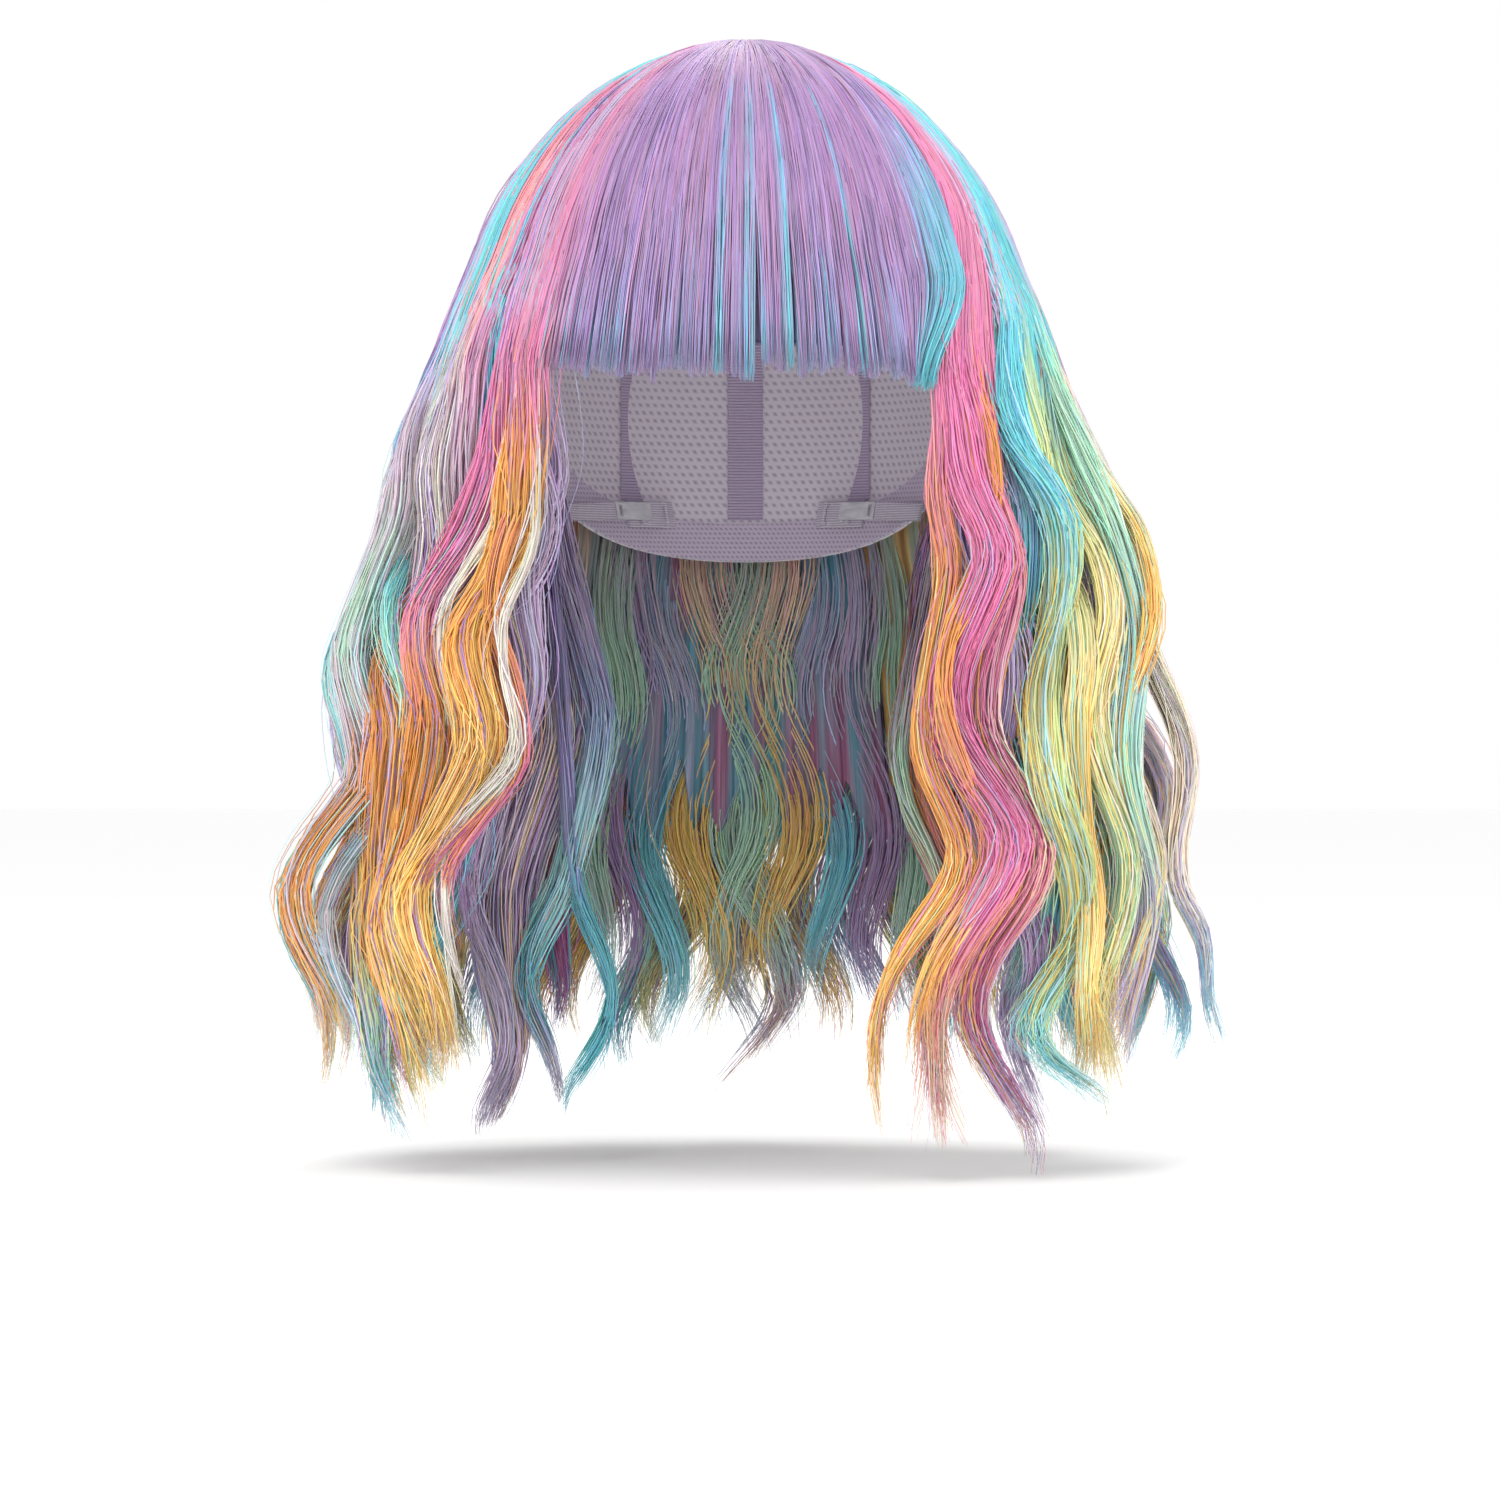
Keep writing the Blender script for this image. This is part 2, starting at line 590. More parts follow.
LEFT_REAR = [
    Lock(-78, -78, -206, -92, LILAC_CROWN | {12: "violet", -4: "aqua", -30: "paleaqua", -60: "lilac",
         -84: "mint", -112: "paleaqua", -130: "mint", -142: "deep_orange", -170: "orange", -195: "peach"},
         width=9, thick=4, wave=10, depth=2, count=150,
         line={24: 97, 5: 106, -18: 114, -38: 114, -60: 121, -78: 131, -92: 135, -108: 130, -124: 127,
               -140: 140, -156: 149, -172: 147, -190: 140, -204: 140},
         streaks=[("mauve", 0.2, 0), ("aqua", 0.16, -30)]),
    Lock(-87, -89, -206, -94, LILAC_CROWN | {14: "violet", -20: "mauve", -60: "lilac", -100: "paleaqua",
         -135: "peach", -165: "orange", -195: "peach"},
         depth=7, width=12, length=68, wave=8, count=130,
         streaks=[("violet", 0.15, 20)]),
    Lock(-95, -96, -208, -90, LILAC_CROWN | {0: "lilac", -50: "mint", -110: "lilac", -160: "paleaqua",
         -200: "aqua"},
         wave=9, length=78, count=130,
         streaks=[("pink", 0.15, 10)]),
]
RIGHT_FRONT = [
    Lock(50.5, 24, -224, -140, {117: "pink", 0: "candy", -30: "coral", -60: "deep_orange", -100: "orange",
         -150: "orange", -220: "gold"},
         width=4.5, thick=4, wave=9, depth=3, count=140, crown_width=3.6,
         line={26: 66, 10: 65, -20: 66, -50: 66, -75: 61, -100: 59, -115: 62, -130: 68, -145: 71, -158: 66,
               -170: 56, -184: 47, -200: 43, -215: 42, -228: 40},
         streaks=[("pink", 0.2, -10), ("butter", 0.1, -60)]),
    Lock(54, 36, -232, -134, {117: "pink", 40: "pink", 0: "candy", -60: "candy", -150: "candy",
         -185: "coral", -210: "peach"},
         width=8, thick=5, wave=10, depth=-1.5, count=300, crown_width=4.4,
         line={14: 71, -20: 73, -40: 77, -54: 78, -66: 73, -78: 68, -90: 66, -102: 68, -114: 75, -126: 82,
               -138: 86, -148: 84, -160: 77, -172: 69, -184: 64, -196: 62, -210: 63},
         streaks=[("orange", 0.06, 0), ("lilac", 0.1, -40), ("magenta", 0.06, -60), ("coral", 0.1, -60)]),
    Lock(55, 40, -214, -60, {117: "pink", 30: "pink", 10: "coral", -16: "orange", -90: "orange",
         -130: "coral", -170: "gold", -210: "orange"},
         width=3, thick=2.5, wave=8, depth=-3, count=60, crown_width=2,
         line={14: 76, -10: 80, -30: 84, -44: 82, -56: 75, -68: 67, -82: 62, -96: 62, -110: 68, -126: 77,
               -140: 80, -152: 78, -166: 68, -180: 58, -196: 53, -212: 52}),
]
RIGHT_CHEEK = [
    Lock(58, 44, -238, -130, {117: "pink", 40: "pink", 0: "candy", -40: "coral", -90: "rose", -140: "peach",
         -165: "coral", -190: "rose", -215: "lilac", -236: "violet"},
         width=8, thick=5, wave=9, depth=4, count=170, crown_width=3,
         line={14: 76, -30: 80, -60: 82, -85: 78, -105: 79, -125: 88, -145: 92, -162: 86, -176: 77,
               -190: 73, -204: 75, -218: 83, -236: 95},
         streaks=[("orange", 0.18, -20), ("magenta", 0.1, -40), ("gold", 0.12, -190)]),
    Lock(65, 50, -222, -104, AQUA_CROWN | {20: "aqua", -10: "aqua", -34: "aqua", -52: "mint", -70: "lime",
         -120: "lime", -165: "lime", -195: "mint", -208: "aqua", -220: "aqua"},
         width=7.5, thick=5, wave=10, depth=0, count=280, crown_width=5.5,
         line={30: 88, 5: 86, -15: 88, -30: 94, -46: 101, -62: 105, -76: 104, -90: 99, -105: 95, -120: 94,
               -134: 98, -150: 107, -164: 112, -178: 109, -190: 98, -202: 90, -213: 97, -221: 112},
         streaks=[("paleaqua", 0.2, -10), ("gold", 0.1, -60)]),
    Lock(64, 47, -200, -104, {117: "aqua", 40: "aqua", 10: "mint", -20: "bluelilac", -60: "teal",
         -90: "deep_orange", -120: "gold", -150: "mint", -200: "aqua"},
         width=9, thick=5, wave=9, depth=9, count=140, crown_width=2.5,
         line={14: 84, -30: 87, -60: 92, -90: 92, -120: 92, -150: 98, -175: 98, -200: 88},
         streaks=[("teal", 0.2, -20), ("mint", 0.2, -100)]),
]
RIGHT_SIDE = [
    Lock(69, 55, -218, -70, AQUA_CROWN | {16: "mint", -20: "lime", -60: "lime", -100: "butter",
         -150: "gold", -185: "butter", -214: "gold"},
         width=7, thick=4, wave=10, depth=1, count=210, crown_width=4.5,
         line={30: 90, 0: 93, -25: 97, -45: 106, -60: 110, -80: 106, -100: 103, -115: 106, -130: 112,
               -150: 115, -165: 112, -180: 107, -195: 106, -212: 112},
         streaks=[("mint", 0.2, -20), ("gold", 0.12, -90)]),
    Lock(73, 61, -218, -84, AQUA_CROWN | {20: "paleaqua", -6: "mint", -34: "lime", -80: "butter",
         -110: "lime", -150: "mint", -190: "lime", -214: "butter"},
         width=9, thick=5, wave=9, depth=2, count=230, crown_width=4,
         line={30: 94, 0: 98, -25: 104, -50: 113, -70: 117, -95: 115, -120: 119, -145: 122, -170: 119,
               -190: 116, -212: 119},
         streaks=[("butter", 0.2, -20), ("cream", 0.15, -40)]),
    Lock(79, 68, -196, -76, AQUA_CROWN | {10: "peach", -24: "cream", -56: "gold", -88: "orange",
         -110: "cream", -130: "mauve", -170: "butter", -192: "lilac"},
         width=3.8, thick=3, wave=10, depth=2, count=110, crown_width=3,
         line={30: 95, 5: 106, -15: 113, -35: 122, -52: 128, -70: 132, -84: 131, -98: 126, -112: 124,
               -128: 128, -150: 133, -170: 130, -190: 127},
         streaks=[("butter", 0.3, -20), ("mint", 0.1, 20)]),
]
RIGHT_REAR = [
    Lock(74, 66, -204, -90, AQUA_CROWN | {10: "mint", -40: "mint", -80: "paleaqua", -130: "mint",
         -170: "lilac", -200: "lilac"},
         width=9, thick=5, wave=10, depth=6, count=130,
         line={30: 94, 0: 104, -40: 118, -80: 124, -120: 126, -160: 128, -200: 126},
         streaks=[("gold", 0.15, -50), ("cream", 0.15, -50)]),
    Lock(84, 80, -206, -118, LILAC_CROWN | {10: "mauve", -40: "cream", -90: "cream", -120: "peach",
         -160: "cream", -178: "bluelilac", -200: "aqua"},
         width=8, thick=4, wave=10, depth=3, count=150,
         line={30: 93, 0: 107, -30: 117, -60: 126, -85: 131, -100: 138, -114: 143, -128: 144, -144: 141,
               -158: 141, -172: 148, -186: 149, -196: 149, -206: 154},
         streaks=[("lilac", 0.2, -90), ("silver", 0.15, -100)]),
    Lock(91, 88, -206, -118, PINK_CROWN | {14: "lilac", -50: "peach", -100: "lilac", -150: "silver",
         -180: "bluelilac", -200: "aqua"},
         width=12, wave=8, length=76, count=130,
         streaks=[("gold", 0.12, -50), ("violet", 0.12, -160)]),
    Lock(98, 97, -206, -112, LILAC_CROWN | {0: "pink", -60: "lilac", -120: "peach", -170: "bluelilac",
         -200: "aqua"},
         wave=9, length=80, count=130),
]

BACK_DYES = [
    {117: "lilac", 20: "lavender", -50: "candy", -120: "coral", -170: "gold", -210: "butter"},
    {117: "lavender", 10: "lilac", -50: "mint", -120: "lime", -170: "mint", -210: "aqua"},
    {117: "rose", 20: "pink", -50: "orange", -120: "gold", -170: "butter", -210: "lime"},
    {117: "rose", 10: "rose", -50: "lilac", -120: "lavender", -170: "lilac", -210: "aqua"},
    {117: "aqua", 10: "aqua", -50: "paleaqua", -120: "mint", -170: "butter", -210: "gold"},
    {117: "lilac", 0: "paleaqua", -50: "bluelilac", -120: "lavender", -170: "rose", -210: "peach"},
]
BACK_STREAKS = ["silver", "gold", "aqua", "pink", "lilac", "mint"]
INNER_DYES = [
    {117: "lilac", 0: "lilac", -80: "lilac", -150: "lavender", -230: "lilac"},
    {117: "aqua", 0: "aqua", -80: "lilac", -150: "aqua", -230: "paleaqua"},
    {117: "pink", 0: "coral", -60: "peach", -140: "gold", -230: "butter"},
    {117: "lilac", 0: "mauve", -80: "mint", -150: "mint", -230: "lilac"},
]
INNER_SHIFT = 3.5


def back_row(first, last, step, tip, start):
    """Locks across the back, spaced evenly, with dyes taken in turn."""
    made = []
    for number, angle in enumerate(np.arange(first, last, step if last > first else -step)):
        dyes = BACK_DYES[(start + number) % len(BACK_DYES)]
        streak = BACK_STREAKS[(start + 2 * number) % len(BACK_STREAKS)]
        bottom = angle + rng.uniform(-1.5, 1.5)
        end = tip + rng.uniform(-8, 8)
        crest = -80 + rng.uniform(-14, 14)
        made.append(Lock(angle, bottom, end, crest, dyes, width=14, wave=10 + rng.uniform(-1, 2),
                         length=88 + rng.uniform(-6, 6), crown_width=9,
                         streaks=[(streak, 0.14, rng.uniform(-60, 10)), ("lavender", 0.2, 120)]))
    return made


def inner_row(locks, depth, count):
    """A deeper row behind the given locks, offset between them, in calmer dyes."""
    made = []
    for number, lock in enumerate(locks):
        shift = INNER_SHIFT if lock.top >= 0 else -INNER_SHIFT
        made.append(Lock(lock.top + shift, lock.bottom + shift, lock.tip + 8, lock.crest - 14,
                         INNER_DYES[number % len(INNER_DYES)], width=15, thick=7, depth=depth, wave=8,
                         length=lock.length + 6, count=count, root=(104, 134), crown_width=6))
    return made


# ---------------------------------------------------------------- the fringe

FRINGE_LEFT, FRINGE_RIGHT = -38.5, 48.0
FRINGE_FIBRES = 2800
FRINGE_CLUMPS = 64
FRINGE_SAMPLES = 40
CLUMPING = 0.22

# The angle and width in degrees of each aqua streak, and the end that sweeps inwards.
AQUA_STREAKS = [(-4.6, 0.8), (1.0, 1.1), (8.2, 0.9), (21.0, 0.5)]
SWEEP_FROM, SWEEP_TO, SWEEP = 35.0, 47.0, 13.5


def fringe_fibres(count):
    """Straight fringe fibres from the crown point to the brow, clumped a little at their ends."""
    angle = rng.uniform(FRINGE_LEFT, FRINGE_RIGHT, count)
    clumps = np.sort(rng.uniform(FRINGE_LEFT, FRINGE_RIGHT, FRINGE_CLUMPS))
    mine = np.abs(angle[:, None] - clumps[None]).argmin(axis=1)
    tip_height = FRINGE_END - 3.5 + np.abs(rng.normal(0, 2.0, count))
    tip_height += rng.normal(0, 1.2, FRINGE_CLUMPS)[mine]
    tip_height += 2.0 * ease(-angle, 20, 37) - 4.0 * ease(angle, 30, 46)
    tip_run = run_at_height(tip_height)
    whole, first = fibre_roots(count, 0.5, 8, 8, 70)
    run = first[:, None] + (tip_run - first)[:, None] * np.linspace(0, 1, FRINGE_SAMPLES)
    height = at_run(PROFILE, run, 0)
    low = ease(-height, -75, -10)
    theta = angle[:, None] + (clumps[mine] - angle)[:, None] * CLUMPING * low
    sweep = SWEEP * ease(angle[:, None], SWEEP_FROM - 8, SWEEP_TO) * ease(-height, -42, 2)
    theta = np.radians(theta - sweep)
    wander = frizz_for(count, run)
    theta = theta + 0.35 * wander[0] / turn_length(theta, run)
    layer = rng.uniform(0, 1, count)[:, None]
    rise, start = root_taper(run, first, whole, 24)
    depth = layer * (1.0 + 4.0 * low) + 0.8 * ease(-height, -34, -6) + rise + 0.25 * wander[1]
    radii = fibre_radii(count, 0.8, np.clip((tip_run[:, None] - run) / 14.0, 0.3, 1), start)
    return surface_point(theta, run, depth), radii, fringe_colours(angle, height, layer, count)


def fringe_colours(angle, height, layer, count):
    """Lavender, bluer near the brow, with aqua streaks and an aqua sweep at the right-hand end."""
    wander = rng.normal(0, 9, count)[:, None]
    bluer = np.clip(0.6 + 0.4 * np.sin(angle * 0.5 + 1.0) + rng.normal(0, 0.25, count), 0, 1)[:, None]
    layered = 0.22 * layer[..., None]
    colours = dye("lavender") * (1 - layered) + dye("violet") * layered + np.zeros(height.shape + (3,))
    drop = -(height + wander)
    low = (ease(drop, -56, -16) * bluer)[..., None]
    colours = colours + (dye("bluelilac") - colours) * low * 0.9
    pinker = (rng.random(count) < 0.2)[:, None, None]
    colours = np.where(pinker, colours * 0.55 + 0.45 * dye("rose"), colours)
    edge = ease(-(angle + rng.normal(0, 2.0, count)), 32, 37)[:, None, None]
    colours = colours + (dye("rose") - colours) * edge * 0.8
    aqua = np.zeros(count)
    for centre, width in AQUA_STREAKS:
        aqua = np.maximum(aqua, np.exp(-((angle - centre) / width) ** 2) * (rng.random(count) < 0.75))
    aqua = aqua[:, None] * ease(-height, -104, -90)
    swept = ease(angle + rng.normal(0, 1.6, count), SWEEP_FROM, SWEEP_FROM + 7)[:, None]
    hint = (rng.random(count) < 0.08)[:, None] * ease(drop, -30, -12)
    mix = np.clip(np.maximum.reduce([aqua, swept * ease(drop, -100, -62), hint]), 0, 1)[..., None]
    sky = (dye("aqua") + dye("bluelilac")) / 2
    tone = sky + (dye("aqua") - sky) * ease(drop, -60, -24)[..., None]
    colours = colours + (tone - colours) * mix
    cast = 1 + rng.normal(0, 0.07, count)[:, None, None]
    return np.clip(colours * cast, 12, 253)


# ---------------------------------------------------------------- hair beside the neck


class NeckLock:
    """A lock behind the ear: its line (height: x) as seen in front, half width, depth back and dyes."""

    def __init__(self, line, width, back, tip, dyes, streaks, count):
        self.line, self.width, self.back, self.tip = line, width, back, tip
        self.dyes, self.streaks, self.count = dyes, streaks, count


LEFT_NECK = [
    NeckLock({0: -72, -30: -70, -55: -66, -75: -64, -92: -61, -106: -60, -122: -66, -140: -74, -156: -79,
              -172: -80, -190: -79, -206: -76, -222: -78, -240: -86},
             11, 14, -236, {0: "lavender", -60: "lilac", -84: "lilac", -100: "mauve", -150: "lilac",
              -185: "lilac", -234: "lilac"},
             [("lavender", 0.2, -30), ("paleaqua", 0.12, -60), ("peach", 0.15, -90)], 360),
    NeckLock({0: -66, -50: -60, -80: -52, -100: -47, -118: -50, -140: -56, -158: -61, -170: -68, -184: -73,
              -196: -71, -210: -64, -226: -60},
             5, 10, -228, {0: "lavender", -70: "lilac", -96: "bluelilac", -140: "paleaqua",
              -168: "paleaqua", -180: "aqua", -226: "lilac"},
             [("silver", 0.25, -130)], 150),
    NeckLock({-20: -66, -90: -60, -130: -58, -152: -57, -164: -54, -178: -47, -192: -43, -204: -45,
              -214: -51, -228: -61},
             2.6, 8, -232, {0: "lavender", -140: "bluelilac", -160: "aqua", -228: "aqua"},
             (), 90),
    NeckLock({-20: -74, -110: -76, -150: -88, -166: -90, -180: -84, -196: -78, -212: -77, -236: -89},
             4, 6, -238, {0: "lavender", -120: "lilac", -236: "lilac"},
             [("mauve", 0.2, -100)], 130),
    NeckLock({-40: -62, -110: -62, -150: -66, -175: -62, -190: -60, -210: -64},
             9, 34, -206, {0: "indigo", -130: "indigo", -170: "magenta", -206: "violet"},
             [("teal", 0.2, -60)], 120),
]
RIGHT_NECK = [
    NeckLock({0: 72, -40: 64, -70: 60, -100: 56, -122: 56, -140: 61, -158: 69, -176: 72, -196: 74, -214: 80,
              -234: 92},
             7, 20, -230, {0: "magenta", -60: "violet", -90: "deep_orange", -150: "coral", -190: "rose",
              -228: "violet"},
             [("mauve", 0.2, -60), ("orange", 0.2, -90)], 190),
    NeckLock({-10: 70, -60: 60, -90: 54, -112: 50, -130: 53, -148: 62, -164: 66, -190: 62},
             3, 14, -186, {0: "mauve", -100: "mauve", -120: "mint", -186: "peach"},
             (), 60),
]


def neck_fibres(lock):
    """Fibres that hang close beside the neck along a lock's line."""
    count = lock.count
    share = np.linspace(0, 1, SAMPLES)
    top = max(lock.line)
    tip = lock.tip + rng.gamma(1.4, 8.0, count)
    height = top + (tip - top)[:, None] * share
    shift = rng.normal(0, 2.5, count)[:, None]
    heights, x, _ = true_line(lock.line, 20 - lock.back, 23)
    middle = np.interp(-(height + shift), -heights, x)
    spin = rng.random(count)[:, None] * 2 * pi + share * 1.6
    disc = np.sqrt(rng.random(count))[:, None]
    close = 0.25 + 0.75 * np.clip((height - tip[:, None]) / 60.0, 0, 1)
    open_out = 0.35 + 0.65 * ease(-height, -top, 70)
    wild = np.where(rng.random(count) < 0.12, 2.4, 0.7)[:, None]
    wander = frizz_for(count, height) * wild
    across = middle + lock.width * disc * np.cos(spin) * close * open_out + wander[0]
    back = lock.back + 9 * disc * np.sin(spin) * close + 5 * np.sin((height - 20) / 16) + wander[1]
    path = np.stack([across, back, height], axis=-1)
    radii = fibre_radii(count, 0.75, np.clip((1 - share[None]) / 0.12, 0.2, 1))
    return path, radii, lock_colours(lock, height, count)


# ---------------------------------------------------------------- streaked sheets under the fibres

SHEET_THICK = 1.6
SHEET_COLUMNS, SHEET_ROWS = 60, 70


def sheet_piece(name, angles, heights, depth, dyes, ragged=0.0, lean=0.0, rear=0.0):
    """A closed, gently rippled sheet that backs the fibres between two angles and two heights.

    Below the brow it draws back towards the rear angle by the share lean.
    """
    across, down = SHEET_COLUMNS, SHEET_ROWS
    theta = np.radians(np.linspace(angles[0], angles[1], across))[None]
    top_run = run_at_height(heights[0]) if heights[0] < CROWN_TOP - 2 else 0.5
    tooth = ragged * np.abs(np.sin(theta * 23.0) + 0.6 * np.sin(theta * 51.0 + 1.0))
    end_run = run_at_height(heights[1]) - tooth
    run = top_run + (end_run - top_run) * np.linspace(0, 1, down)[:, None]
    height = at_run(PROFILE, run, 0)
    theta = radians(rear) + (theta - radians(rear)) * (1 - lean * ease(-height, -26, 6))
    ripple = 1.6 * np.sin(np.degrees(theta) * 1.1) * ease(-height, -20, 60)
    sides = []
    for layer in (0.0, SHEET_THICK):
        lower = depth + 9.0 * ease(-height, -45, 20)
        sides.append(surface_point(theta, run, lower + ripple + layer).reshape(-1, 3))
    points = np.concatenate(sides) * MM
    outer = np.arange(across * down).reshape(down, across)
    inner = outer + across * down
    rim_outer = np.concatenate([outer[0], outer[1:, -1], outer[-1, -2::-1], outer[-2:0:-1, 0]])
    rim_inner = rim_outer + across * down
    quads = np.concatenate([
        grid_quads(outer), grid_quads(inner)[:, ::-1],
        np.stack([rim_outer, rim_inner, np.roll(rim_inner, -1), np.roll(rim_outer, -1)], axis=-1),
    ])
    mesh = bpy.data.meshes.new(name)
    fill_mesh(mesh, points, quads, np.zeros((0, 3), int))
    strand = np.stack([np.degrees(theta).ravel(), run.ravel(), np.zeros(run.size)], axis=-1)
    place = mesh.attributes.new("strand", "FLOAT_VECTOR", "POINT")
    place.data.foreach_set("vector", np.concatenate([strand, strand]).astype(np.float32).ravel())
    mesh.polygons.foreach_set("use_smooth", np.ones(len(mesh.polygons), bool))
    mesh.materials.append(strand_material(name + "_strands", dyes))
    mesh.update()
    return add_object(name, mesh)


def grid_quads(grid):
    """Quads of a grid of vertex numbers."""
    return np.stack([grid[:-1, :-1], grid[1:, :-1], grid[1:, 1:], grid[:-1, 1:]], axis=-1).reshape(-1, 4)


class Nodes:
    """A short way to add and join shader nodes."""

    def __init__(self, name):
        self.material = bpy.data.materials.new(name)
        self.material.use_nodes = True
        self.tree = self.material.node_tree
        self.shader = self.tree.nodes["Principled BSDF"]

    def add(self, kind, **settings):
        node = self.tree.nodes.new(kind)
        for key, value in settings.items():
            setattr(node, key, value)
        return node

    def join(self, source, target):
        self.tree.links.new(source, target)

    def math(self, operation, *values):
        """A math node of sockets or numbers."""
        node = self.add("ShaderNodeMath", operation=operation)
        for socket, value in zip(node.inputs, values):
            if isinstance(value, (int, float)):
                socket.default_value = value
            else:
                self.join(value, socket)
        return node.outputs[0]

    def noise(self, vector, scale, detail):
        """A noise value at a vector."""
        node = self.add("ShaderNodeTexNoise")
        node.inputs["Scale"].default_value = scale
        node.inputs["Detail"].default_value = detail
        node.inputs["Roughness"].default_value = 0.55
        self.join(vector, node.inputs["Vector"])
        return node.outputs["Fac"]

    def scaled(self, vector, scale, shift=(0, 0, 0)):
        """A vector stretched and moved."""
        node = self.add("ShaderNodeMapping")
        node.inputs["Scale"].default_value = scale
        node.inputs["Location"].default_value = shift
        self.join(vector, node.inputs["Vector"])
        return node.outputs["Vector"]

    def ramp(self, value, *stops):
        """A colour ramp of (place, sRGB bytes) stops."""
        node = self.add("ShaderNodeValToRGB")
        band = node.color_ramp
        while len(band.elements) < len(stops):
            band.elements.new(0.5)
        for element, (place, colour) in zip(band.elements, stops):
            element.position = place
            element.color = linear_colour(colour)
        self.join(value, node.inputs["Fac"])
        return node.outputs["Color"]

    def darkened(self, share, colour, shade):
        """A colour multiplied by a shade, by a share."""
        node = self.add("ShaderNodeMix", data_type="RGBA", blend_type="MULTIPLY")
        node.inputs[0].default_value = share
        self.join(colour, node.inputs[6])
        self.join(shade, node.inputs[7])
        return node.outputs[2]

    def object_place(self):
        """The object's own coordinates."""
        return self.add("ShaderNodeTexCoord").outputs["Object"]

    def parts(self, vector):
        """A vector's x, y and z."""
        node = self.add("ShaderNodeSeparateXYZ")
        self.join(vector, node.inputs[0])
        return node.outputs

    def ribs(self, value, pitch):
        """Even ribs across a value in metres, one to each pitch in millimetres."""
        return self.math("ABSOLUTE", self.math("SINE", self.math("MULTIPLY", value, pi / (pitch * MM))))

    def finish(self, colour, rough, value, distance, strength):
        """The shader's colour and roughness, and a bump from a value."""
        self.join(colour, self.shader.inputs["Base Color"])
        self.shader.inputs["Roughness"].default_value = rough
        node = self.add("ShaderNodeBump")
        node.inputs["Strength"].default_value = strength
        node.inputs["Distance"].default_value = distance
        self.join(value, node.inputs["Height"])
        self.join(node.outputs["Normal"], self.shader.inputs["Normal"])
        return self.material


def strand_material(name, dyes):
    """Fine streaks along the hair, with dyes that change round the head."""
    made = Nodes(name)
    place = made.add("ShaderNodeAttribute", attribute_name="strand").outputs["Vector"]
    fine = made.noise(made.scaled(place, (1.9, 0.012, 1)), 1.0, 4)
    broad = made.noise(made.scaled(place, (0.16, 0.004, 1), (7, 3, 0)), 1.0, 2)
    last = len(dyes) - 1
    base = made.ramp(broad, *[(k / last * 0.5 + 0.25, DYES[hue]) for k, hue in enumerate(dyes)])
    shade = made.ramp(fine, (0.3, (120, 108, 128)), (0.7, (235, 230, 236)))
    made.shader.inputs["Specular IOR Level"].default_value = 0.4
    return made.finish(made.darkened(0.85, base, shade), 0.5, fine, 0.0006, 0.7)


# ---------------------------------------------------------------- hair pieces on their bodies


def hang(piece, body, slot, *nodes):
    """Puts hair on the cap or bends it onto its body, with its colour slot and the nodes it replaces."""
    if body == "cap":
        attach(piece, "cap")
    else:
        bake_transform(piece)
    if nodes:
        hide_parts(*nodes)


# Pieces of the fringe: name, the x between which their ends hang, and the nodes they replace.
FRINGE_PARTS = [
    ("left_end", -999, -36, []),
    ("left", -36, -12, ["fringe_left"]),
    ("centre", -12, 12, ["fringe_centre", "crown_hair_front"]),
    ("right", 12, 42, ["fringe_right"]),
    ("right_end", 42, 999, []),
]


def make_fringe():
    """The fringe fibres in five pieces from left to right, parted by where their ends hang."""
    paths, radii, colours = fringe_fibres(FRINGE_FIBRES)
    at_end = paths[:, -1, 0]
    for name, low, high, nodes in FRINGE_PARTS:
        mine = (at_end >= low) & (at_end < high)
        piece = tube_mesh("fringe_hair_" + name, paths[mine], radii[mine], colours[mine])
        hang(piece, "fringe", "hair_lavender", *nodes)


# Side hair by side: part, locks and colour slot, and the nodes each part replaces.
SIDE_GROUPS = {
    "left": [("front", LEFT_FRONT, "hair_gold"), ("cheek", LEFT_CHEEK, "hair_pink"),
             ("side", LEFT_SIDE, "hair_aqua"), ("rear", LEFT_REAR, "hair_lilac")],
    "right": [("front", RIGHT_FRONT, "hair_pink"), ("cheek", RIGHT_CHEEK, "hair_mint"),
              ("side", RIGHT_SIDE, "hair_gold"), ("rear", RIGHT_REAR, "hair_lilac")],
}
SIDE_NODES = {
    "front": ["front_lock"], "cheek": ["cheek_lock"], "side": ["side_lock", "temple_hair"],
    "rear": ["rear_side_lock", "crown_hair_side"],
}


def make_side_hair(name):
    """The locks beside the face on one side, and two deeper rows behind them."""
    body = "side_hair_" + name
    for part, locks, slot in SIDE_GROUPS[name]:
        piece = build_hair(f"{part}_locks_{name}", locks)
        hang(piece, body, slot, *[f"{node}_{name}" for node in SIDE_NODES[part]])
    every = [lock for _, locks, _ in SIDE_GROUPS[name] for lock in locks]
    for number, depth in ((1, 15), (2, 24)):
        piece = build_hair(f"inner_locks_{number}_{name}", inner_row(every[number + 1::2], depth, 110))
        hang(piece, body, "hair_purple")


# Angles from the middle of the face at which the hair changes body, on both sides.
CORNER_ANGLE, BACK_ANGLE = 104, 154.5


